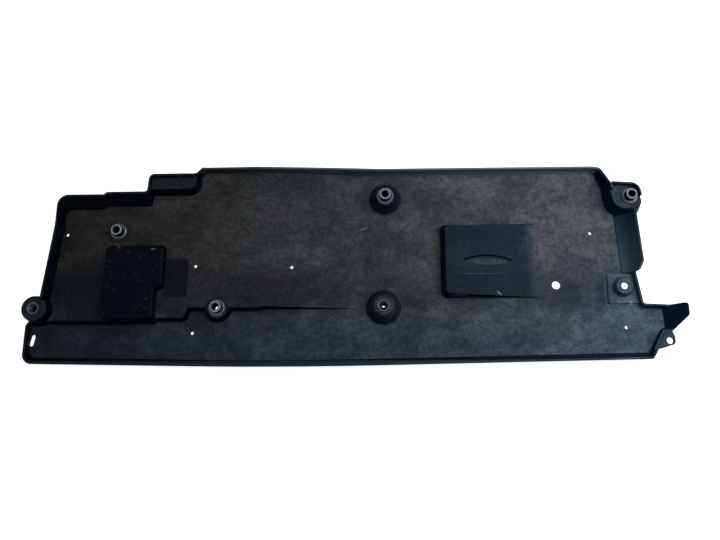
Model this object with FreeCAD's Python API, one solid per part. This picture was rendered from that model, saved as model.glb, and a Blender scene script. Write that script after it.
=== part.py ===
import FreeCAD
import Part
import math
import os

# An underbody guard: one moulded plastic pan with a turned-up rim, raised areas and bolt bosses,
# with pressed-in metal sleeves and bushes that the body bolts pass through.
# The face towards the car is up. Lengths are in millimetres.
# The plan is laid out about the middle of the pan. At the end every piece is moved together, so
# that the origin is under the middle of the overall box, on the surface the guard lies on.

# The pan's nominal plan at the underside of its floor, and its wall.
LENGTH = 1043.0
WIDTH = 312.0
WALL = 3.0

# Rim tops above the underside, and how far the far rim stands above the floor beside it.
RIM_LOW = 14.0
RIM_HIGH = 40.0
RIM_RIGHT = 32.0
RIM_FAR_RISE = 13.0

# Leans: how far a wall runs out for each millimetre that it rises.
LEAN_NEAR = 0.55
LEAN_END = 0.30
LEAN_FAR = 0.20
LEAN_HIGH = 0.60
LEAN_LEFT = 0.12
LEAN_UPRIGHT = 0.05
LEAN_MOUND = 0.25

# Roundings: where the floor turns up into the rim, and on the raised areas.
COVE = 5.0
MOUND_CROWN = 3.0
MOUND_COVE = 2.5
SMALLEST_RADIUS = 0.6
ARC_STEPS = 3

# The raised main floor at the left: its rise, and where it starts and ends sloping to the right.
FLOOR_RISE = 12.0
SLOPE_START = -155.0
SLOPE_END = 15.0
STRIP_WIDTH = 61.0
STRIP_WIDE = 85.0

# The angled block on the raised floor; the gap is from its far side to the upper left sleeve.
BLOCK_RISE = 12.0
BLOCK_LENGTH = 96.0
BLOCK_GAP = 27.0
BLOCK_NICK = 12.0

# The ramped block right of the middle, with its lens-shaped well.
WEDGE_RISE = 18.0
WEDGE_LENGTH = 158.0
WEDGE_WIDTH = 112.0
LENS_LENGTH = 82.0
LENS_WIDTH = 17.0
LENS_PLACE = 70.0

# The shelf in the far rim.
SHELF_TOP = 33.0
SHELF_LENGTH = 76.0
SHELF_DEPTH = 23.0

# The ramps up to the right rim and to the wing, and the steep share of their runs.
RAMP_RUN = 27.0
RAMP_KNEE = 12.0
WING_RUN = 26.0
WING_TOP = 36.0
STEEP_SHARE = 0.42

# Bosses: seat height above the underside, radius of the seat and of the foot.
SEAT_LEVEL = WALL + FLOOR_RISE + 1.0
SEAT_RADIUS = 17.5
SEAT_FOOT = 19.5
CONE_TOP = 23.0
CONE_RADIUS = 15.0
CONE_FOOT = 26.0
DOME_TOP = 23.0
DOME_RADIUS = 15.0
DOME_FOOT = 28.0
END_TOP = 33.0
END_RADIUS = 20.0
END_FOOT = 26.0
CORNER_TOP = 28.0
CORNER_LIP = 8.0
PAD_RISE = 2.5
COLLAR_RISE = 9.0
COLLAR_RADIUS = 12.5
COLLAR_FOOT = 17.0
COLLAR_HOLE = 5.7

# The flat lug at the lower right corner.
LUG_TOP = 13.0
LUG_HOLE = 5.2

# Stepped steel sleeve: bore, tube, flange and the tail that reaches down to the bolt's head.
SLEEVE_BORE = 5.2
SLEEVE_TUBE = 9.0
SLEEVE_RISE = 10.0
SLEEVE_FLANGE = 13.0
SLEEVE_FLANGE_THICK = 2.5
SLEEVE_TAIL = 8.0
TAIL_END = 2.0
SLEEVE_BEVEL = 0.8

# Dished bush: bore, mouth and flange; its tail is as wide as a sleeve's.
BUSH_BORE = 2.8
BUSH_MOUTH = 8.0
BUSH_DISH = 5.0
BUSH_FLANGE = 10.5
BUSH_FLANGE_THICK = 2.0

# Play between a pressed-in piece and its hole, on the radius.
PLAY = 0.1

# Drain and locating holes, and the slot at the left end.
DRAIN_RADIUS = 6.7
SMALL_RADIUS = 2.6
SLOT_WIDTH = 7.0
SLOT_LENGTH = 19.0

LEFT = -LENGTH / 2
RIGHT = LENGTH / 2
NEAR = -WIDTH / 2
FAR = WIDTH / 2
RAISED = WALL + FLOOR_RISE
OUTSIDE = 60.0
TALL = RIM_HIGH + 4.0

# Places of the bosses.
SLEEVE_UPPER_LEFT = (LEFT + 137, FAR - 101)
SLEEVE_LOWER_LEFT = (LEFT + 306, NEAR + 82)
SLEEVE_UPPER_MIDDLE = (56.5, FAR - 47)
SLEEVE_UPPER_RIGHT = (RIGHT - 71, FAR - 53)
BUSH_LOWER_MIDDLE = (52.5, NEAR + 83)
BUSH_LEFT_END = (LEFT + 15, NEAR + 80)
COLLAR_PLACE = (RIGHT - 86, NEAR + 114)
LUG_PLACE = (RIGHT - 23, NEAR + 26.5)


def vec(x, y, z=0.0):
    return FreeCAD.Vector(x, y, z)


def offset(corners, distances, swell=0.0):
    """Moves every edge of an anticlockwise outline outwards by its own distance.
    The corners keep their radii, apart from a swell that follows a change of wall."""
    count = len(corners)
    lines = []
    for i in range(count):
        a, b = corners[i], corners[(i + 1) % count]
        along = vec(b[0] - a[0], b[1] - a[1]).normalize()
        lines.append((vec(a[0], a[1]) + vec(along.y, -along.x) * distances[i], along))
    result = []
    for i in range(count):
        (p, u), (q, w) = lines[i - 1], lines[i]
        turn = u.x * w.y - u.y * w.x
        meet = p + u * (((q.x - p.x) * w.y - (q.y - p.y) * w.x) / turn)
        radius = corners[i][2] + (swell if turn > 0 else -swell)
        result.append((meet.x, meet.y, max(radius, SMALLEST_RADIUS)))
    return result


def rounded_wire(corners, z=0.0):
    """A closed wire of straight runs and tangent arcs round an outline; a radius of 0 stays sharp."""
    count = len(corners)
    cuts = []
    for i in range(count):
        before, here, after = corners[i - 1], corners[i], corners[(i + 1) % count]
        back = vec(before[0] - here[0], before[1] - here[1]).normalize()
        ahead = vec(after[0] - here[0], after[1] - here[1]).normalize()
        half = back.getAngle(ahead) / 2
        reach = here[2] / math.tan(half)
        corner = vec(here[0], here[1], z)
        middle = corner + (back + ahead).normalize() * (here[2] / math.sin(half) - here[2])
        cuts.append((corner + back * reach, middle, corner + ahead * reach, here[2]))
    edges = []
    for i in range(count):
        start, middle, end, radius = cuts[i]
        if radius:
            edges.append(Part.Arc(start, middle, end).toShape())
        edges.append(Part.LineSegment(end, cuts[(i + 1) % count][0]).toShape())
    return Part.Wire(edges)


def stack(corners, leans, levels, inset=0.0):
    """A solid through an outline's sections; each level is a height and how far it stands out.
    An inset keeps that much wall square to each leaning side."""
    wires = []
    for z, out in levels:
        distances = [lean * z + out - inset * math.hypot(1, lean) for lean in leans]
        wires.append(rounded_wire(offset(corners, distances, out - inset), z))
    return Part.makeLoft(wires, True, True)


def cove_levels(floor, radius):
    """Levels of a hollow rounding from a floor up into a wall."""
    turns = [math.pi / 2 * k / ARC_STEPS for k in range(ARC_STEPS + 1)]
    return [(floor + radius * (1 - math.cos(a)), radius * (math.sin(a) - 1)) for a in turns]


def mound(corners, floor, top, crown=MOUND_CROWN, cove=MOUND_COVE):
    """A raised area given by the outline of its top: its outer solid and the hollow under it."""
    turns = [math.pi / 2 * k / ARC_STEPS for k in range(ARC_STEPS + 1)]
    levels = [(floor - 1, cove)]
    if cove:
        levels += [(floor + cove * (1 - math.cos(a)), cove * (1 - math.sin(a))) for a in turns]
    levels += [(top - crown * (1 - math.sin(a)), crown * (math.cos(a) - 1)) for a in turns]
    spread = [(z, out + LEAN_MOUND * (top - z)) for z, out in levels]
    upright = [0.0] * len(corners)
    outer = stack(corners, upright, spread)
    hollow = [(z, LEAN_MOUND * (top - z)) for z in (-1.0, top - WALL)]
    return outer, stack(corners, upright, hollow, WALL)


def turned(points, place):
    """A solid turned about an upright axis at a place, from corners of radius, height, rounding."""
    face = Part.Face(rounded_wire(points))
    face.rotate(vec(0, 0), vec(1, 0), 90)
    solid = face.revolve(vec(0, 0), vec(0, 0, 1), 360)
    solid.translate(vec(place[0], place[1]))
    return solid


def boss(place, floor, top, radius, foot, crown=MOUND_CROWN, cove=MOUND_COVE):
    """A turned boss: its outer solid and the hollow under it."""
    skirt = foot + 2 * cove
    outer = [(0, floor - 1, 0), (skirt, floor - 1, 0)]
    if cove:
        outer += [(skirt, floor, 0), (foot, floor, cove)]
    outer += [(radius, top, crown), (0, top, 0)]
    inner = [(0, -1, 0), (foot - WALL + 1, -1, 0), (radius - WALL, top - WALL, 0), (0, top - WALL, 0)]
    return turned(outer, place), turned(inner, place)


def side_prism(points, y_from, y_to):
    """A solid with a side profile of along, height, rounding, running across the pan."""
    face = Part.Face(rounded_wire(points))
    face.rotate(vec(0, 0), vec(1, 0), 90)
    face.translate(vec(0, y_to))
    return face.extrude(vec(0, y_from - y_to))


def drill(place, radius):
    return Part.makeCylinder(radius, 2 * TALL, vec(place[0], place[1], -TALL / 2))


def box(x_from, x_to, y_from, y_to, z_from, z_to):
    return Part.makeBox(x_to - x_from, y_to - y_from, z_to - z_from, vec(x_from, y_from, z_from))


SHELF_RIGHT = LEFT + 268
SHELF_LEFT = SHELF_RIGHT - SHELF_LENGTH
SHELF_FAR = FAR - 11.5
HEAD_FAR = FAR - 64
HEAD_STEP = 4.0

# The pan's outline, anticlockwise from the lower left corner: along, across, corner radius, and
# the lean of the wall that starts there.
FLANGE_LOW = (RIGHT - 60, NEAR + 151)
FLANGE_HIGH = (RIGHT - 65.5, FAR - 74)
OUTLINE = [
    (LEFT - 1, NEAR + 1, 16, LEAN_NEAR),
    (-110, NEAR - 6, 7800, LEAN_NEAR),
    (RIGHT - 51, NEAR + 5.5, 5, LEAN_END),
    (RIGHT - 29, NEAR + 43, 3, LEAN_UPRIGHT),
    (RIGHT - 19, NEAR + 41, 4, LEAN_UPRIGHT),
    (RIGHT, NEAR + 65, 6, LEAN_UPRIGHT),
    (RIGHT, NEAR + 82, 6, LEAN_UPRIGHT),
    (RIGHT - 59, NEAR + 85, 4, LEAN_UPRIGHT),
    (RIGHT - 67, NEAR + 137, 5, LEAN_UPRIGHT),
    (*FLANGE_LOW, 5, LEAN_UPRIGHT),
    (*FLANGE_HIGH, 4, LEAN_UPRIGHT),
    (RIGHT - 80, FAR - 68, 4, LEAN_FAR),
    (RIGHT - 103, FAR - 36, 4, LEAN_FAR),
    (RIGHT - 117, FAR, 14, LEAN_FAR),
    (-60, FAR + 0.3, 8000, LEAN_FAR),
    (SHELF_RIGHT + 6, FAR - 1, 7, LEAN_UPRIGHT),
    (SHELF_RIGHT, SHELF_FAR, 7, LEAN_UPRIGHT),
    (SHELF_LEFT, SHELF_FAR, 9, LEAN_UPRIGHT),
    (SHELF_LEFT - 4, HEAD_FAR, 4, LEAN_HIGH),
    (LEFT + 111, HEAD_FAR, 2, LEAN_END),
    (LEFT + 106, HEAD_FAR - HEAD_STEP, 2, LEAN_HIGH),
    (LEFT + 45, HEAD_FAR - HEAD_STEP, 18, LEAN_LEFT),
    (LEFT + 45, FAR - 94, 150, LEAN_LEFT),
    (LEFT + 32, NEAR + 98, 4, LEAN_UPRIGHT),
    (LEFT - 0.5, NEAR + 60, 12, LEAN_END),
]
CORNERS = [row[:3] for row in OUTLINE]
LEANS = [row[3] for row in OUTLINE]

envelope = stack(CORNERS, LEANS, [(0, 0), (TALL, 0)])
cavity = stack(CORNERS, LEANS, cove_levels(WALL, COVE) + [(TALL + 1, 0)], WALL)
pan = envelope.cut(cavity)

# The rim is trimmed to its heights: the far rim falls with the floor and rises again at the right.
far_line = [(LEFT - OUTSIDE, RIM_HIGH, 0), (SHELF_RIGHT - 3, RIM_HIGH, 0),
            (SHELF_RIGHT + 11, RAISED + RIM_FAR_RISE, 4), (SLOPE_START, RAISED + RIM_FAR_RISE, 40),
            (SLOPE_END + 35, WALL + RIM_FAR_RISE, 40), (RIGHT - 119, WALL + RIM_FAR_RISE, 6),
            (RIGHT - 95, RIM_RIGHT, 6), (RIGHT + OUTSIDE, RIM_RIGHT, 0)]
sky = [(RIGHT + OUTSIDE, 2 * TALL, 0), (LEFT - OUTSIDE, 2 * TALL, 0)]
BACK_OF_END = BUSH_LEFT_END[1] - 10
BACK_OF_PAD = NEAR + 137
pan = pan.cut(side_prism(far_line + sky, BACK_OF_PAD, FAR + OUTSIDE))
pan = pan.cut(box(LEFT - OUTSIDE, 0, BACK_OF_END, BACK_OF_PAD, RIM_HIGH, 2 * TALL))
pan = pan.cut(box(0, RIGHT + OUTSIDE, NEAR - OUTSIDE, BACK_OF_PAD, RIM_LOW, 2 * TALL))
pan = pan.cut(box(LEFT - OUTSIDE, 0, NEAR - OUTSIDE, BACK_OF_END, RIM_LOW, 2 * TALL))

# The raised main floor, stepped down to the near strip and sloping away to the right.
step_near = NEAR + STRIP_WIDTH
step_far = NEAR + STRIP_WIDE
raised_outline = [(LEFT - OUTSIDE, step_near, 0), (LEFT + 167, step_near, 4), (LEFT + 171, step_near + 4, 4),
                  (LEFT + 252, step_near + 4, 6), (LEFT + 258, step_far - 3, 6), (LEFT + 375, step_far - 3, 6),
                  (LEFT + 380, step_far, 6), (SLOPE_END + OUTSIDE, step_far, 0),
                  (SLOPE_END + OUTSIDE, FAR + OUTSIDE, 0), (LEFT - OUTSIDE, FAR + OUTSIDE, 0)]
slope = FLOOR_RISE / (SLOPE_END - SLOPE_START)


def sloped_floor(level, bottom):
    """Everything under the raised floor's top line, laid at a level and going down to a bottom."""
    end = SLOPE_END + (level - bottom) / slope
    points = [(LEFT - OUTSIDE, bottom, 0), (end, bottom, 0), (SLOPE_START, level + FLOOR_RISE, 60),
              (LEFT - OUTSIDE, level + FLOOR_RISE, 0)]
    return side_prism(points, NEAR - OUTSIDE, FAR + 2 * OUTSIDE)


raised, raised_hollow = mound(raised_outline, WALL, RAISED)
raised = raised.common(sloped_floor(WALL, WALL - 1)).common(envelope)
raised_hollow = raised_hollow.common(sloped_floor(0.0, -1.0))

# The angled block at the left, whose near side runs down to the strip.
block_left = LEFT + 120
block_near = step_near + 4
block_right = block_left + BLOCK_LENGTH
block_far = SLEEVE_UPPER_LEFT[1] - BLOCK_GAP
block_outline = [(block_left, block_near, 8), (block_right - BLOCK_NICK, block_near, 3),
                 (block_right - BLOCK_NICK, block_near + 47, 4), (block_right, block_near + 51, 4),
                 (block_right, block_far, 6), (block_left + 3, block_far, 7)]
block, block_hollow = mound(block_outline, WALL, RAISED + BLOCK_RISE)

# The ramped block: highest at its left side and running out level with the floor at its right.
wedge_left = 151.5
wedge_near = NEAR + 103
wedge_right = wedge_left + WEDGE_LENGTH
wedge_far = wedge_near + WEDGE_WIDTH
wedge_slope = WEDGE_RISE / WEDGE_LENGTH
wedge_outline = [(wedge_left, wedge_near, 5), (wedge_right + OUTSIDE, wedge_near, 5),
                 (wedge_right + OUTSIDE, wedge_far, 5), (wedge_left, wedge_far, 5)]


def ramp_down(level, bottom):
    """Everything under the ramped block's top line, laid at a level and going down to a bottom."""
    end = wedge_right + (level - bottom) / wedge_slope
    start = wedge_left - OUTSIDE
    points = [(start, bottom, 0), (end, bottom, 0), (start, bottom + (end - start) * wedge_slope, 0)]
    return side_prism(points, wedge_near - OUTSIDE, wedge_far + OUTSIDE)


def lens(extra):
    """The upright lens-shaped column, grown by an extra all round."""
    radius = (LENS_LENGTH ** 2 / 4 + LENS_WIDTH ** 2 / 4) / LENS_WIDTH
    half = math.sqrt((radius + extra) ** 2 - (radius - LENS_WIDTH / 2) ** 2)
    middle = vec(wedge_left + LENS_PLACE, (wedge_near + wedge_far) / 2)
    side = vec(0, LENS_WIDTH / 2 + extra)
    ends = [middle - vec(half, 0), middle + vec(half, 0)]
    arcs = [Part.Arc(ends[0], middle + side, ends[1]).toShape(),
            Part.Arc(ends[1], middle - side, ends[0]).toShape()]
    return Part.Face(Part.Wire(arcs)).extrude(vec(0, 0, 2 * TALL))


lens_well = lens(0.0)
lens_well.translate(vec(0, 0, WALL))
lens_column = lens(WALL)
lens_column.translate(vec(0, 0, -TALL))
wedge, wedge_hollow = mound(wedge_outline, WALL, WALL + WEDGE_RISE)
wedge = wedge.common(ramp_down(WALL, WALL - 1)).cut(lens_well)
wedge_hollow = wedge_hollow.common(ramp_down(0.0, -1.0)).cut(lens_column)

# The shelf in the far rim.
shelf_outline = [(SHELF_LEFT - 12, SHELF_FAR - SHELF_DEPTH, 4), (SHELF_RIGHT - 1, SHELF_FAR - SHELF_DEPTH, 14),
                 (SHELF_RIGHT - 1, FAR + OUTSIDE, 4), (SHELF_LEFT - 12, FAR + OUTSIDE, 4)]
shelf, shelf_hollow = mound(shelf_outline, RAISED, SHELF_TOP)
shelf = shelf.common(envelope)


def ramp(edge, run, knee, top):
    """A ramp that climbs to the right up to an edge, in two steps: its outer solid and hollow."""
    steep = STEEP_SHARE * run
    over = 12.0
    points = [(edge - run - 1, WALL - 1, 0), (edge + over, WALL - 1, 0),
              (edge + over, top + over * (top - WALL - knee) / steep, 0), (edge - steep, WALL + knee, 30)]
    under = offset(points, [4.0, OUTSIDE, -WALL, -WALL], WALL)
    return (side_prism(points, NEAR - OUTSIDE, FAR + OUTSIDE), side_prism(under, NEAR - OUTSIDE, FAR + OUTSIDE))


# The corner boss at the upper right bulges out past the rim and has a lip round its outer sides.
corner_x, corner_y = SLEEVE_UPPER_RIGHT
corner_outline = [(corner_x - 26, corner_y - 22, 20), (corner_x + 12, corner_y - 21, 6),
                  (corner_x + 19, corner_y - 9, 6), (corner_x + 14, corner_y + 20, 16),
                  (corner_x - 32, corner_y + 23, 4)]
corner, corner_hollow = mound(corner_outline, 1.0, CORNER_TOP, MOUND_CROWN, 0.0)
corner_clear = Part.Face(rounded_wire(corner_outline, WALL)).extrude(vec(0, 0, 2 * TALL))
lip_floor = CORNER_TOP - WALL / 2
lip = Part.Face(rounded_wire(corner_outline, lip_floor)).extrude(vec(0, 0, CORNER_LIP + WALL / 2))
lip_inside = offset(corner_outline, [-WALL] * len(corner_outline), -WALL)
lip = lip.cut(Part.Face(rounded_wire(lip_inside, 0)).extrude(vec(0, 0, 2 * TALL)))
lip_sides = [(corner_x + 40, corner_y - 6, 0), (corner_x + 40, corner_y + 40, 0),
             (corner_x - 40, corner_y + 40, 0), (corner_x - 40, corner_y + 14, 0)]
lip = lip.common(Part.Face(rounded_wire(lip_sides, 0)).extrude(vec(0, 0, 2 * TALL)))

flange, flange_hollow = ramp(FLANGE_LOW[0], RAMP_RUN, RAMP_KNEE, RIM_RIGHT)
flange_turn = math.degrees(math.atan2(FLANGE_LOW[0] - FLANGE_HIGH[0], FLANGE_HIGH[1] - FLANGE_LOW[1]))
for solid in (flange, flange_hollow):
    solid.rotate(vec(*FLANGE_LOW), vec(0, 0, 1), flange_turn)
flange_far = corner_y - 8
flange = flange.common(box(0, RIGHT + OUTSIDE, BACK_OF_PAD, flange_far, 0, RIM_RIGHT))
flange = flange.common(envelope).cut(corner_clear)
flange_hollow = flange_hollow.common(box(0, RIGHT + 2 * OUTSIDE, BACK_OF_PAD + WALL, flange_far, -OUTSIDE, TALL))
flange_hollow = flange_hollow.cut(corner)

wing, wing_hollow = ramp(RIGHT, WING_RUN, (1 - STEEP_SHARE) * (WING_TOP - WALL), WING_TOP)
wing = wing.common(box(0, RIGHT + OUTSIDE, NEAR, NEAR + 100, 0, WING_TOP)).common(envelope)
wing_hollow = wing_hollow.common(box(0, RIGHT + 2 * OUTSIDE, NEAR, NEAR + 100, -OUTSIDE, TALL))

# The pad in the corner by the notch, with its raised collar.
pad_outline = [(RIGHT - 110, NEAR + 87, 3), (RIGHT - 51, NEAR + 87, 3),
               (RIGHT - 60, NEAR + 135, 3), (RIGHT - 110, NEAR + 135, 3)]
pad_top = WALL + PAD_RISE
pad, pad_hollow = mound(pad_outline, WALL, pad_top, 1.0, 1.0)
pad = pad.common(envelope)
collar_top = pad_top + COLLAR_RISE
collar, collar_hollow = boss(COLLAR_PLACE, pad_top, collar_top, COLLAR_RADIUS, COLLAR_FOOT, 0.0, 0.0)

bosses = [
    boss(SLEEVE_UPPER_LEFT, RAISED, SEAT_LEVEL, SEAT_RADIUS, SEAT_FOOT, 0.0, 0.0),
    boss(SLEEVE_LOWER_LEFT, WALL, SEAT_LEVEL, SEAT_RADIUS, SEAT_FOOT + 3, MOUND_CROWN, 0.0),
    boss(SLEEVE_UPPER_MIDDLE, WALL, CONE_TOP, CONE_RADIUS, CONE_FOOT, 2.5, 5.0),
    boss(BUSH_LOWER_MIDDLE, WALL, DOME_TOP, DOME_RADIUS, DOME_FOOT, 6.0, 5.0),
    boss(BUSH_LEFT_END, 1.0, END_TOP, END_RADIUS, END_FOOT, MOUND_CROWN, 0.0),
]

# The flat lug outside the lower right corner.
lug_corners = [(RIGHT - 50, NEAR + 10.5, 2), (RIGHT - 15, NEAR + 20.8, 8), (RIGHT - 13, NEAR + 30, 4),
               (RIGHT - 18, NEAR + 41, 4), (RIGHT - 32, NEAR + 44, 2)]
lug = Part.Face(rounded_wire(lug_corners, LUG_TOP - WALL)).extrude(vec(0, 0, WALL))

outers = [raised, block, wedge, shelf, flange, wing, pad, collar, corner, lip, lug]
outers += [pair[0] for pair in bosses]
hollows = [raised_hollow, block_hollow, wedge_hollow, shelf_hollow, flange_hollow, wing_hollow, pad_hollow,
           collar_hollow, corner_hollow]
hollows += [pair[1] for pair in bosses]

holes = [drill(place, SLEEVE_TAIL + PLAY) for place in
         (SLEEVE_UPPER_LEFT, SLEEVE_LOWER_LEFT, SLEEVE_UPPER_MIDDLE, SLEEVE_UPPER_RIGHT,
          BUSH_LOWER_MIDDLE, BUSH_LEFT_END)]
holes += [drill(COLLAR_PLACE, COLLAR_HOLE), drill(LUG_PLACE, LUG_HOLE)]
holes.append(drill((RIGHT - 191, NEAR + 118), DRAIN_RADIUS))
holes += [drill(place, SMALL_RADIUS) for place in
          ((RIGHT - 131, FAR - 108), (RIGHT - 85, NEAR + 49), (LEFT + 265, NEAR + 43), (LEFT + 268, FAR - 161),
           (-96.5, FAR - 163), (LEFT + 51, FAR - 106))]
slot_across, slot_along, slot_round = SLOT_WIDTH / 2, SLOT_LENGTH / 2, SLOT_WIDTH / 2 - 0.01
slot_corners = [(-slot_across, -slot_along, slot_round), (slot_across, -slot_along, slot_round),
                (slot_across, slot_along, slot_round), (-slot_across, slot_along, slot_round)]
slot = Part.Face(rounded_wire(slot_corners, -TALL)).extrude(vec(0, 0, 2 * TALL))
slot.rotate(vec(0, 0), vec(0, 0, 1), -10)
slot.translate(vec(LEFT + 4, NEAR + 32))
holes.append(slot)

# The rim stops at the two bosses that stand in it.
end_clear = Part.makeCylinder(END_RADIUS, 2 * TALL, vec(BUSH_LEFT_END[0], BUSH_LEFT_END[1], WALL))
pan = pan.cut([end_clear, corner_clear])

tray = pan.fuse(outers).cut(hollows).cut(holes).removeSplitter()


def sleeve(place, seat):
    """A stepped steel sleeve seated on a boss, with its tail reaching down under it."""
    shoulder = seat + SLEEVE_FLANGE_THICK
    top = shoulder + SLEEVE_RISE
    points = [(SLEEVE_BORE, TAIL_END), (SLEEVE_TAIL, TAIL_END), (SLEEVE_TAIL, seat), (SLEEVE_FLANGE, seat),
              (SLEEVE_FLANGE, shoulder - SLEEVE_BEVEL), (SLEEVE_FLANGE - SLEEVE_BEVEL, shoulder),
              (SLEEVE_TUBE, shoulder), (SLEEVE_TUBE, top - SLEEVE_BEVEL), (SLEEVE_TUBE - SLEEVE_BEVEL, top),
              (SLEEVE_BORE + SLEEVE_BEVEL, top), (SLEEVE_BORE, top - SLEEVE_BEVEL)]
    return turned([(r, z, 0) for r, z in points], place)


def bush(place, seat):
    """A dished bush whose mouth narrows to a small bore, with a tail like the sleeve's."""
    top = seat + BUSH_FLANGE_THICK
    points = [(BUSH_BORE, TAIL_END, 0), (SLEEVE_TAIL, TAIL_END, 0), (SLEEVE_TAIL, seat, 0), (BUSH_FLANGE, seat, 0),
              (BUSH_FLANGE, top, 0.8), (BUSH_MOUTH, top, 0.6), (BUSH_BORE, top - BUSH_DISH, 0)]
    return turned(points, place)


pieces = {
    "tray": tray,
    "sleeve_upper_left": sleeve(SLEEVE_UPPER_LEFT, SEAT_LEVEL),
    "sleeve_lower_left": sleeve(SLEEVE_LOWER_LEFT, SEAT_LEVEL),
    "sleeve_upper_middle": sleeve(SLEEVE_UPPER_MIDDLE, CONE_TOP),
    "sleeve_upper_right": sleeve(SLEEVE_UPPER_RIGHT, CORNER_TOP),
    "bush_lower_middle": bush(BUSH_LOWER_MIDDLE, DOME_TOP),
    "bush_left_end": bush(BUSH_LEFT_END, END_TOP),
}
bounds = tray.optimalBoundingBox(False, False)
shift = vec(-bounds.Center.x, -bounds.Center.y, -bounds.ZMin)
os.makedirs("parts", exist_ok=True)
for name, shape in pieces.items():
    shape.translate(shift)
    shape.exportStep("parts/" + name + ".step")
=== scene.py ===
import math

import bpy
from mathutils import Matrix, Vector

# The moulded guard lies on a white table and is photographed from above, a little from the near side.
# Lengths are in metres, in the part's own frame.

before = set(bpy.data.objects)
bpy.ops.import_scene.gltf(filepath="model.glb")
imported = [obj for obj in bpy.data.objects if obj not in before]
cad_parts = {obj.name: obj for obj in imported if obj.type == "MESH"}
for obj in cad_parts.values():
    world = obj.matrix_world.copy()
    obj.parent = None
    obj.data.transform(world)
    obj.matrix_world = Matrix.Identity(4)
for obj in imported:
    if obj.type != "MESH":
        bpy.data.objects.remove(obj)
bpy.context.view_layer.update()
scene = bpy.context.scene
scene.view_settings.view_transform = "Standard"

SLEEVES = ("sleeve_upper_left", "sleeve_lower_left", "sleeve_upper_middle")
DARK_METAL = ("bush_lower_middle", "bush_left_end")
ROUND_BOSSES = ("sleeve_upper_middle", "bush_lower_middle", "bush_left_end")

# Stretches of the tray in plan: x from and to, then y from and to.
BLOCK = (-0.42, -0.285, -0.11, 0.04)
FLOOR_RIGHT_OF_BLOCK = (-0.301, -0.262, -0.052, 0.012)
FLOOR_LEFT_OF_BLOCK = (-0.456, -0.400, -0.090, 0.013)
WEDGE = (0.140, 0.34, -0.058, 0.072)
WELL = (0.180, 0.270, -0.014, 0.016)
FLOOR_BEFORE_PAD = (0.27, 0.42, -0.075, 0.016)
PAD = (0.4135, 0.470, -0.0675, -0.0175)
PAD_AND_WALLS = (0.410, 0.482, -0.071, -0.014)
LUG = (0.470, 0.530, -0.160, -0.112)
STRIP_LEFT = (-0.34, -0.06, -0.15, -0.08)
STRIP_RIGHT = (0.08, 0.32, -0.15, -0.08)
RAMP = (0.428, 0.482, -0.022, 0.080)
FAR_RIM = (-0.60, 0.415, 0.1545, 0.180)

# From and to: heights first, then places along x and y, then distances from a boss's axis.
OFF_FLOOR = (0.0033, 0.0042)
WEDGE_TOP = (0.0036, 0.0062)
RIGHT_RIM_TOP = (0.0122, 0.0134)
BLOCK_TOP = (0.0200, 0.0225)
HIGH_PLACES = (0.0245, 0.0275)
RIGHT_RIM_START = (0.450, 0.456)
NEAR_WALL = (-0.1560, -0.1535)
FAR_RIM_UPWARDS = (0.1560, 0.1625)
BETWEEN_RIMS = (-0.1535, 0.1560)
BESIDE_STEP = (-0.072, -0.016)
BOSS_REACH = (0.026, 0.034)
DOME_RING = (0.0130, 0.0205)

# How far a surface faces up, from -1 for straight down to 1 for straight up.
FACES_LEVEL = (0.84, 0.985)
FACES_SLOPING = (0.25, 0.80)
FACES_UPWARDS = (-0.2, 0.3)
FACES_DOWN = (-0.55, -0.10)
FLANGE_LEVEL = (0.30, 0.60)

# Dust at the left and at the right end of the floor, and roughness without and with it.
DUST_ALONG = (0.20, 1.05)
PLASTIC_ROUGHNESS = (0.46, 0.80)
PLASTIC_SHINE = 0.03

# Shades of the plastic: bare at the left and the right end, the right painted lighter as painted light from
# that side, dust, painted light on the far rim, a painted sheen on the bosses, wear with painted highlights
# on edges, and what lies on it.
BARE_LEFT_PAINTED_SHADE = (0.0007, 0.0022, 0.0052)
BARE_RIGHT_PAINTED_LIGHT = (0.0040, 0.0110, 0.0250)
GREEN_DUST = (0.090, 0.110, 0.116)
GREY_DUST = (0.106, 0.106, 0.116)
OLIVE_DUST = (0.140, 0.126, 0.108)
BLUE_DUST = (0.076, 0.116, 0.146)
FAR_RIM_PAINTED_LIGHT = (0.150, 0.195, 0.235)
BOSS_PAINTED_SHEEN = (0.030, 0.041, 0.052)
BLOCK_FLECK = (0.075, 0.115, 0.130)
WORN_EDGE_AND_HIGHLIGHT = (0.062, 0.078, 0.092)
SCRUBBED_DOME = (0.060, 0.068, 0.074)
CLEAN_UNDERSIDE = (0.006, 0.008, 0.010)
ROAD_FILM = (0.054, 0.060, 0.066)

# Scuffs, smears and small marks on the surface, one of them a painted glint: place, half length and half
# width, lean in degrees, and shade.
MARKS = (
    ((0.0239, 0.0624), (0.0090, 0.0015), 21, (0.16, 0.15, 0.14)),
    # A small brown mark on the top of the block.
    ((-0.3749, 0.0296), (0.0026, 0.0040), 20, (0.075, 0.045, 0.020)),
    ((-0.3180, 0.0253), (0.0040, 0.0018), 0, (0.10, 0.12, 0.13)),
    ((-0.4770, 0.0015), (0.0018, 0.0060), 0, (0.050, 0.060, 0.040)),
    ((0.2412, -0.0485), (0.0048, 0.0018), -40, (0.20, 0.23, 0.25)),
    ((0.2095, -0.0168), (0.0480, 0.0009), 1, (0.040, 0.056, 0.068)),
    ((0.1775, -0.0518), (0.0150, 0.0010), 0, (0.055, 0.070, 0.080)),
    ((-0.0850, 0.0231), (0.0016, 0.0110), 0, (0.075, 0.068, 0.060)),
    ((-0.0800, -0.0400), (0.0060, 0.0028), 25, (0.060, 0.024, 0.028)),
    # A painted glint by the pad.
    ((0.4502, -0.0648), (0.0030, 0.0045), 0, (0.20, 0.23, 0.24)),
)
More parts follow.
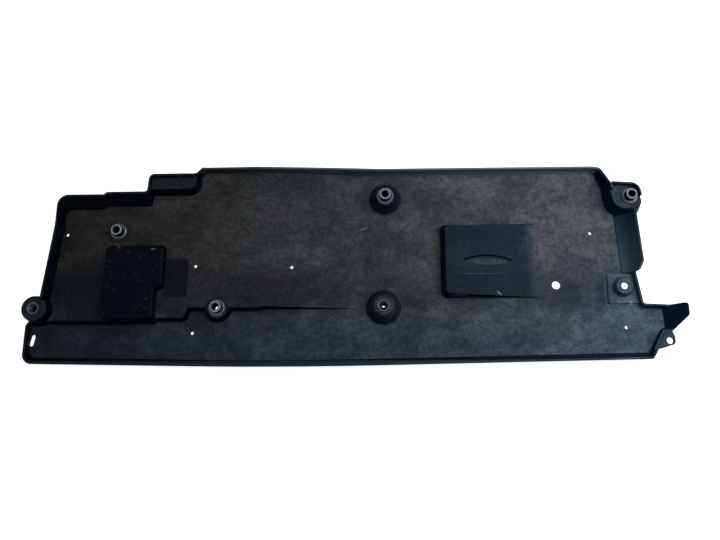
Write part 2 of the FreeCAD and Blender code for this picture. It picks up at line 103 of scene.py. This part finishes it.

# Zinc shades: painted highlights in rings on the edges, the dull flange between them, and the upright walls
# in painted shade.
PALE_ZINC = ((0.175, 0.190, 0.205), (0.034, 0.040, 0.046), (0.006, 0.007, 0.008))
CORNER_ZINC = ((0.095, 0.105, 0.115), (0.050, 0.057, 0.064), (0.016, 0.018, 0.020))
DARK_ZINC = ((0.066, 0.075, 0.083), (0.022, 0.027, 0.032), (0.005, 0.006, 0.007))
FLANGE_RING = (0.0120, 0.0140)
MOUTH_RING = (0.0070, 0.0092)
RING_SOFT = 0.0003
ZINC_ROUGHNESS = (0.44, 0.54)

# The table, with how much of its white is its own next to what the lamps give it, and the room's light.
TABLE_SIZE = 30.0
TABLE_TOP = -0.0005
TABLE_WHITE = 0.88
ROOM_LIGHT = 0.15

# The camera, as it stood for the photograph.
CAMERA_PLACE = (0.0568, -0.2617, 1.1169)
CAMERA_AHEAD = (-0.0339, 0.2228, -0.9743)
CAMERA_RIGHT = (0.9994, 0.0, -0.0348)
LENS = 35.0
SENSOR = 36.0


def colour(r, g, b):
    return (r, g, b, 1.0)


def middle_of(name):
    """Where the axis of a turned piece stands in plan."""
    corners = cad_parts[name].bound_box
    return tuple((min(c[i] for c in corners) + max(c[i] for c in corners)) / 2 for i in (0, 1))


class Look:
    """A material whose colour is put together from small nodes."""

    def __init__(self, name):
        self.material = bpy.data.materials.new(name)
        self.material.use_nodes = True
        self.tree = self.material.node_tree
        self.shader = self.tree.nodes["Principled BSDF"]
        place = self.tree.nodes.new("ShaderNodeTexCoord")
        self.place = place.outputs["Object"]
        split = self.tree.nodes.new("ShaderNodeSeparateXYZ")
        self.tree.links.new(self.place, split.inputs[0])
        self.x, self.y, self.z = split.outputs

    def feed(self, socket, value):
        if isinstance(value, bpy.types.NodeSocket):
            self.tree.links.new(value, socket)
        else:
            socket.default_value = value

    def math(self, operation, a, b=0.0):
        node = self.tree.nodes.new("ShaderNodeMath")
        node.operation = operation
        self.feed(node.inputs[0], a)
        self.feed(node.inputs[1], b)
        return node.outputs[0]

    def times(self, first, *others):
        """The product of several values."""
        for other in others:
            first = self.math("MULTIPLY", first, other)
        return first

    def most(self, first, *others):
        """The largest of several values."""
        for other in others:
            first = self.math("MAXIMUM", first, other)
        return first

    def rest_of(self, share):
        """What a share leaves of one."""
        return self.math("SUBTRACT", 1.0, share)

    def rise(self, value, low, high, bottom=0.0, top=1.0):
        """Goes smoothly from bottom to top as a value goes from low to high."""
        node = self.tree.nodes.new("ShaderNodeMapRange")
        node.interpolation_type = "SMOOTHSTEP"
        for socket, number in zip(node.inputs[1:5], (low, high, bottom, top)):
            socket.default_value = number
        self.feed(node.inputs[0], value)
        return node.outputs[0]

    def within(self, value, low, high, soft):
        """One between two values, with soft edges."""
        up = self.rise(value, low - soft, low + soft)
        down = self.rise(value, high - soft, high + soft, 1.0, 0.0)
        return self.times(up, down)

    def patch(self, stretch, soft):
        """One inside a stretch of the plan, with soft edges."""
        x_low, x_high, y_low, y_high = stretch
        return self.times(self.within(self.x, x_low, x_high, soft), self.within(self.y, y_low, y_high, soft))

    def away(self, x, y):
        """Distance in plan from a place."""
        across = self.math("SUBTRACT", self.x, x)
        along = self.math("SUBTRACT", self.y, y)
        return self.math("SQRT", self.math("ADD", self.times(across, across), self.times(along, along)))

    def dab(self, place, size, lean):
        """One inside a small ragged oval mark, turned by a lean in degrees."""
        cosine = math.cos(math.radians(lean))
        sine = math.sin(math.radians(lean))
        length, width = size
        dx = self.math("SUBTRACT", self.x, place[0])
        dy = self.math("SUBTRACT", self.y, place[1])
        u = self.math("ADD", self.times(dx, cosine / length), self.times(dy, sine / length))
        v = self.math("SUBTRACT", self.times(dy, cosine / width), self.times(dx, sine / width))
        reach = self.math("ADD", self.times(u, u), self.times(v, v))
        ragged = self.rise(self.noise(700.0, 2.0), 0.36, 0.56)
        return self.times(self.rise(reach, 0.4, 1.2, 1.0, 0.0), ragged)

    def noise(self, scale, detail=4.0, rough=0.55, stretch=None, warp=0.0):
        node = self.tree.nodes.new("ShaderNodeTexNoise")
        node.inputs["Scale"].default_value = scale
        node.inputs["Detail"].default_value = detail
        node.inputs["Roughness"].default_value = rough
        node.inputs["Distortion"].default_value = warp
        source = self.place
        if stretch:
            turn = self.tree.nodes.new("ShaderNodeMapping")
            turn.inputs["Scale"].default_value = stretch
            self.tree.links.new(self.place, turn.inputs[0])
            source = turn.outputs[0]
        self.tree.links.new(source, node.inputs["Vector"])
        return node.outputs["Fac"]

    def mix(self, amount, a, b):
        node = self.tree.nodes.new("ShaderNodeMix")
        node.data_type = "RGBA"
        self.feed(node.inputs["Factor"], amount)
        self.feed(node.inputs["A"], a)
        self.feed(node.inputs["B"], b)
        return node.outputs["Result"]

    def facing_up(self, low, high):
        """One on surfaces that face up more than a limit, none below another."""
        geometry = self.tree.nodes.new("ShaderNodeNewGeometry")
        split = self.tree.nodes.new("ShaderNodeSeparateXYZ")
        self.tree.links.new(geometry.outputs["Normal"], split.inputs[0])
        return self.rise(split.outputs[2], low, high)

    def edges(self, radius, low, high):
        """One along edges and corners, none on the smooth faces between them."""
        rounded = self.tree.nodes.new("ShaderNodeBevel")
        rounded.samples = 6
        rounded.inputs["Radius"].default_value = radius
        geometry = self.tree.nodes.new("ShaderNodeNewGeometry")
        agree = self.tree.nodes.new("ShaderNodeVectorMath")
        agree.operation = "DOT_PRODUCT"
        self.tree.links.new(rounded.outputs[0], agree.inputs[0])
        self.tree.links.new(geometry.outputs["Normal"], agree.inputs[1])
        return self.rise(agree.outputs["Value"], low, high, 1.0, 0.0)

    def bump(self, height, strength, distance):
        node = self.tree.nodes.new("ShaderNodeBump")
        node.inputs["Strength"].default_value = strength
        node.inputs["Distance"].default_value = distance
        self.tree.links.new(height, node.inputs["Height"])
        self.tree.links.new(node.outputs["Normal"], self.shader.inputs["Normal"])


class MouldedPlastic(Look):
    """Black plastic: clean on walls, blocks and rims, dusty on the wide floor, more so to the right."""

    def __init__(self):
        super().__init__("dusty_black_plastic")
        streaks = self.noise(34.0, 5.0, 0.65, stretch=(0.5, 1.0, 1.0), warp=0.5)
        self.blotch = self.rise(self.noise(11.0, 5.0, 0.62, warp=0.7), 0.34, 0.68)
        self.streak = self.rise(streaks, 0.30, 0.70)
        self.grain = self.rise(self.noise(150.0, 6.0, 0.72), 0.30, 0.70)
        self.off_floor = self.rise(self.z, *OFF_FLOOR)
        self.high = self.rise(self.z, *HIGH_PLACES)
        self.block = self.times(self.rise(self.z, *BLOCK_TOP), self.patch(BLOCK, 0.002))
        self.wedge = self.clean_wedge()
        self.well = self.times(self.patch(WELL, 0.002), self.rest_of(self.off_floor))
        self.pad = self.patch(PAD, 0.0015)
        self.ramp = self.ramp_dust_and_painted_shade()
        self.near_wall = self.near_wall_dust_and_painted_light()
        self.pad_walls = self.times(self.patch(PAD_AND_WALLS, 0.001), 0.50)

    def clean_wedge(self):
        """The ramped block, up to the ragged line where the floor's dust begins."""
        ragged = self.math("ADD", self.x, self.rise(self.noise(45.0, 3.0), 0.3, 0.7, -0.016, 0.016))
        clean = self.rise(ragged, 0.279, 0.336, 1.0, 0.0)
        return self.times(self.rise(self.z, *WEDGE_TOP), self.patch(WEDGE, 0.004), clean)

    def ramp_dust_and_painted_shade(self):
        """Dust on the ramp at the right end, thickest at its foot and towards the near side; its fading up
        to the lip is painted shade where it steepens.
        """
        by_side = self.rise(self.y, -0.02, 0.085, 0.98, 0.22)
        by_height = self.rise(self.z, 0.0035, 0.0130, 1.0, 0.55)
        return self.times(self.patch(RAMP, 0.003), self.off_floor, by_side, by_height)

    def near_wall_dust_and_painted_light(self):
        """Dust and painted light from the front on the near wall, more to the right."""
        wall = self.rise(self.y, *NEAR_WALL, 1.0, 0.0)
        return self.times(wall, self.rise(self.x, -0.45, 0.45, 0.15, 0.33))

    def dust(self):
        """How much dust lies on each place, with painted shade on the ramp and painted light on the near
        wall.
        """
        amount = self.rise(self.x, -0.50, 0.50, *DUST_ALONG)
        for pattern, least in ((self.blotch, 0.70), (self.streak, 0.72), (self.grain, 0.58)):
            amount = self.times(amount, self.rise(pattern, 0.0, 1.0, least, 1.12))

        # The share of the dust that each place lacks; where it is negative, there is more.
        rims = self.rest_of(self.within(self.y, *BETWEEN_RIMS, 0.0015))
        right_rims = self.times(self.rise(self.z, *RIGHT_RIM_TOP), self.rise(self.x, *RIGHT_RIM_START))
        cleaner = (
            (self.block, 1.0),
            (self.wedge, 0.83),
            (self.well, 0.20),
            # The floor right of the block is kept darker.
            (self.patch(FLOOR_RIGHT_OF_BLOCK, 0.0015), 0.75),
            (self.patch(FLOOR_LEFT_OF_BLOCK, 0.004), 0.34),
            (rims, 0.55),
            (right_rims, 0.60),
            (self.patch(LUG, 0.004), 0.30),
            (self.high, 0.48),
            (self.within(self.y, *BESIDE_STEP, 0.014), 0.32),
            (self.patch(FLOOR_BEFORE_PAD, 0.020), 0.34),
            (self.pad, -0.90),
            (self.patch(STRIP_LEFT, 0.03), -0.25),
            (self.patch(STRIP_RIGHT, 0.05), 0.34),
        )
        for place, share in cleaner:
            amount = self.times(amount, self.rest_of(self.times(place, share)))
        amount = self.times(amount, self.facing_up(*FACES_LEVEL))
        return self.most(amount, self.ramp, self.near_wall, self.pad_walls)

    def dust_shade(self):
        """Green and grey on the main floor, olive at the left, blue on the strip, ramp, pad and wedge."""
        hue = self.rise(self.noise(40.0, 4.0, 0.6), 0.36, 0.64)
        warm = self.mix(hue, colour(*GREEN_DUST), colour(*GREY_DUST))
        olive = self.times(self.rise(self.x, -0.34, -0.06, 1.0, 0.0), self.rise(self.y, -0.05, 0.02), 0.8)
        warm = self.mix(olive, warm, colour(*OLIVE_DUST))
        wander = self.math("ADD", self.y, self.rise(self.noise(14.0, 4.0), 0.3, 0.7, -0.022, 0.022))
        strip = self.rise(wander, -0.135, -0.050, 0.85, 0.0)
        right_end = self.times(self.rise(self.x, 0.30, 0.42), self.rise(self.y, -0.08, -0.03, 1.0, 0.0))
        walls = [self.rise(place, 0.0, 0.15) for place in (self.ramp, self.near_wall, self.pad_walls)]
        fainter = (self.times(self.well, 0.6), self.times(self.high, 0.5))
        blue = self.most(strip, right_end, *walls, self.wedge, self.pad, *fainter)
        return self.mix(blue, warm, colour(*BLUE_DUST))

    def far_rim_painted_light(self):
        """How pale the inside of the far rim is painted, as painted light from the front: most at its top,
        and more to the right.
        """
        foot = self.rise(self.x, -0.20, 0.40, 0.02, 0.44)
        top = self.rise(self.x, -0.34, 0.24, 0.12, 0.92)
        upwards = self.times(self.math("SUBTRACT", top, foot), self.rise(self.y, *FAR_RIM_UPWARDS))
        return self.times(self.math("ADD", upwards, foot), self.patch(FAR_RIM, 0.001), self.off_floor)

    def with_wear_and_painted_light(self, base):
        """Adds a painted sheen on the bosses, flecks on the block, wear with painted highlights on edges, a
        scrubbed dome, and scuffs with one painted glint.
        """
        # A painted sheen on the sloping sides of the round bosses.
        for name in ROUND_BOSSES:
            near = self.rise(self.away(*middle_of(name)), *BOSS_REACH, 1.0, 0.0)
            slope = self.times(self.facing_up(*FACES_SLOPING), self.rise(self.grain, 0.0, 1.0, 0.5, 1.0))
            base = self.mix(self.times(near, slope, 0.5), base, colour(*BOSS_PAINTED_SHEEN))
        fine = self.rise(self.noise(200.0, 4.0, 0.65), 0.56, 0.70)
        sparse = self.rise(self.noise(30.0, 2.0), 0.44, 0.60)
        base = self.mix(self.times(fine, sparse, self.block, 0.3), base, colour(*BLOCK_FLECK))
        broken = self.rise(self.noise(90.0, 3.0), 0.36, 0.60, 0.35, 1.0)
        # Wear on upward edges, partly a painted highlight where the edges catch light.
        worn_and_painted_highlight = self.times(self.edges(0.0015, 0.84, 0.99), broken, self.facing_up(*FACES_UPWARDS), 0.55)
        base = self.mix(worn_and_painted_highlight, base, colour(*WORN_EDGE_AND_HIGHLIGHT))
        dome = self.within(self.away(*middle_of("bush_lower_middle")), *DOME_RING, 0.0015)
        specks = self.rise(self.noise(420.0, 3.0, 0.7), 0.44, 0.62, 0.0, 0.55)
        base = self.mix(self.times(dome, specks), base, colour(*SCRUBBED_DOME))
        for place, size, lean, shade in MARKS:
            base = self.mix(self.dab(place, size, lean), base, colour(*shade))
        return base

    def underside(self):
        """A thin grey road film, drawn out along the guard."""
        lines = self.noise(70.0, 5.0, 0.65, stretch=(0.22, 1.0, 1.0))
        drawn = self.rise(lines, 0.32, 0.68, 0.45, 0.85)
        uneven = self.rise(self.blotch, 0.0, 1.0, 0.55, 1.0)
        film = self.times(drawn, uneven, self.rise(self.grain, 0.0, 1.0, 0.75, 1.0))
        return self.mix(film, colour(*CLEAN_UNDERSIDE), colour(*ROAD_FILM))

    def finished(self):
        """Puts bare plastic painted lighter to the right, dust, painted light on the far rim, wear with
        painted sheen and highlights, and the film below together.
        """
        amount = self.dust()
        # Painted light: the plastic without dust is painted lighter towards the right.
        bare = self.mix(self.rise(self.x, -0.10, 0.50), colour(*BARE_LEFT_PAINTED_SHADE), colour(*BARE_RIGHT_PAINTED_LIGHT))
        base = self.mix(amount, bare, self.dust_shade())
        base = self.mix(self.far_rim_painted_light(), base, colour(*FAR_RIM_PAINTED_LIGHT))
        under = self.rest_of(self.facing_up(*FACES_DOWN))
        base = self.mix(under, self.with_wear_and_painted_light(base), self.underside())
        dull = self.most(amount, self.times(under, 0.45))
        self.feed(self.shader.inputs["Base Color"], base)
        self.feed(self.shader.inputs["Roughness"], self.rise(dull, 0.0, 0.6, *PLASTIC_ROUGHNESS))
        self.shader.inputs["Specular IOR Level"].default_value = PLASTIC_SHINE
        self.bump(self.noise(1400.0, 2.0), 0.10, 0.0003)
        return self.material


def zinc(name, shades):
    """Dull zinc plating, with painted highlights in two rings: round the edge of the flange and round the
    mouth; its upright walls are in painted shade.
    """
    painted_highlight, middle, painted_wall_shade = shades
    look = Look(name + "_zinc")
    marks = look.rise(look.noise(260.0, 3.0, stretch=(1.0, 1.0, 6.0)), 0.3, 0.7, 0.65, 1.0)
    away = look.away(*middle_of(name))
    # Painted highlights in two rings, and painted shade on the upright walls.
    rings = look.most(look.within(away, *FLANGE_RING, RING_SOFT), look.within(away, *MOUTH_RING, RING_SOFT))
    level = look.facing_up(*FLANGE_LEVEL)
    tone = look.mix(look.times(rings, marks), colour(*middle), colour(*painted_highlight))
    look.feed(look.shader.inputs["Base Color"], look.mix(level, colour(*painted_wall_shade), tone))
    look.feed(look.shader.inputs["Metallic"], level)
    look.feed(look.shader.inputs["Roughness"], look.rise(marks, 0.65, 1.0, *ZINC_ROUGHNESS))
    look.shader.inputs["Specular IOR Level"].default_value = 0.0
    look.shader.inputs["Specular Tint"].default_value = colour(0.3, 0.3, 0.3)
    return look.material


def shows_background(tree):
    """One for a ray from the camera, or one that comes by way of metal or glass."""
    ray = tree.nodes.new("ShaderNodeLightPath")
    seen = ray.outputs["Is Camera Ray"]
    for way in ("Is Glossy Ray", "Is Transmission Ray"):
        either = tree.nodes.new("ShaderNodeMath")
        either.operation = "MAXIMUM"
        tree.links.new(seen, either.inputs[0])
        tree.links.new(ray.outputs[way], either.inputs[1])
        seen = either.outputs[0]
    return seen


def white_table():
    """A pale table that looks white, apart from the soft shadow under the guard."""
    material = bpy.data.materials.new("white_table")
    material.use_nodes = True
    tree = material.node_tree
    paint = tree.nodes["Principled BSDF"]
    paint.inputs["Base Color"].default_value = colour(0.8, 0.8, 0.8)
    paint.inputs["Roughness"].default_value = 0.9
    paint.inputs["Specular IOR Level"].default_value = 0.0
    paint.inputs["Emission Color"].default_value = colour(1.0, 1.0, 1.0)
    strength = tree.nodes.new("ShaderNodeMath")
    strength.operation = "MULTIPLY"
    strength.inputs[1].default_value = TABLE_WHITE
    tree.links.new(shows_background(tree), strength.inputs[0])
    tree.links.new(strength.outputs[0], paint.inputs["Emission Strength"])
    return material


def white_room():
    """A room that looks white and gives a dim, slightly blue light."""
    world = bpy.data.worlds.new("room")
    world.use_nodes = True
    tree = world.node_tree
    sky = tree.nodes["Background"]
    seen = shows_background(tree)
    tone = tree.nodes.new("ShaderNodeMix")
    tone.data_type = "RGBA"
    tone.inputs["A"].default_value = colour(0.9, 0.95, 1.0)
    tone.inputs["B"].default_value = colour(1.0, 1.0, 1.0)
    tree.links.new(seen, tone.inputs["Factor"])
    tree.links.new(tone.outputs["Result"], sky.inputs["Color"])
    strength = tree.nodes.new("ShaderNodeMapRange")
    strength.inputs["To Min"].default_value = ROOM_LIGHT
    strength.inputs["To Max"].default_value = 1.0
    tree.links.new(seen, strength.inputs["Value"])
    tree.links.new(strength.outputs["Result"], sky.inputs["Strength"])
    return world


def dress(name, material):
    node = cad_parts[name]
    node.data.materials.clear()
    node.data.materials.append(material)


def soft_light(name, place, aim, size, watts):
    data = bpy.data.lights.new(name, "AREA")
    data.shape = "RECTANGLE"
    data.size, data.size_y = size
    data.energy = watts
    lamp = bpy.data.objects.new(name, data)
    lamp.location = place
    lamp.rotation_euler = (Vector(aim) - Vector(place)).to_track_quat("-Z", "Y").to_euler()
    scene.collection.objects.link(lamp)


def photograph_camera():
    """The camera over the near edge of the guard, looking down and a little away."""
    camera = bpy.data.objects.new("camera", bpy.data.cameras.new("camera"))
    camera.data.sensor_width = SENSOR
    camera.data.lens = LENS
    ahead = Vector(CAMERA_AHEAD).normalized()
    right = Vector(CAMERA_RIGHT).normalized()
    above = right.cross(ahead)
    turned = Matrix((right, above, -ahead)).transposed().to_4x4()
    camera.matrix_world = Matrix.Translation(CAMERA_PLACE) @ turned
    scene.collection.objects.link(camera)
    return camera


dress("tray", MouldedPlastic().finished())
for name in SLEEVES:
    dress(name, zinc(name, PALE_ZINC))
for name in DARK_METAL:
    dress(name, zinc(name, DARK_ZINC))
dress("sleeve_upper_right", zinc("sleeve_upper_right", CORNER_ZINC))

bpy.ops.mesh.primitive_plane_add(size=TABLE_SIZE, location=(0.0, 0.0, TABLE_TOP))
table = bpy.context.object
table.name = "table"
table.data.materials.append(white_table())

soft_light("right_window", place=(0.95, 0.25, 0.85), aim=(0.25, 0.0, 0.0), size=(0.9, 0.9), watts=12.0)
soft_light("overhead", place=(0.0, 0.6, 2.0), aim=(0.0, 0.0, 0.0), size=(2.0, 1.4), watts=9.0)
scene.world = white_room()
scene.camera = photograph_camera()
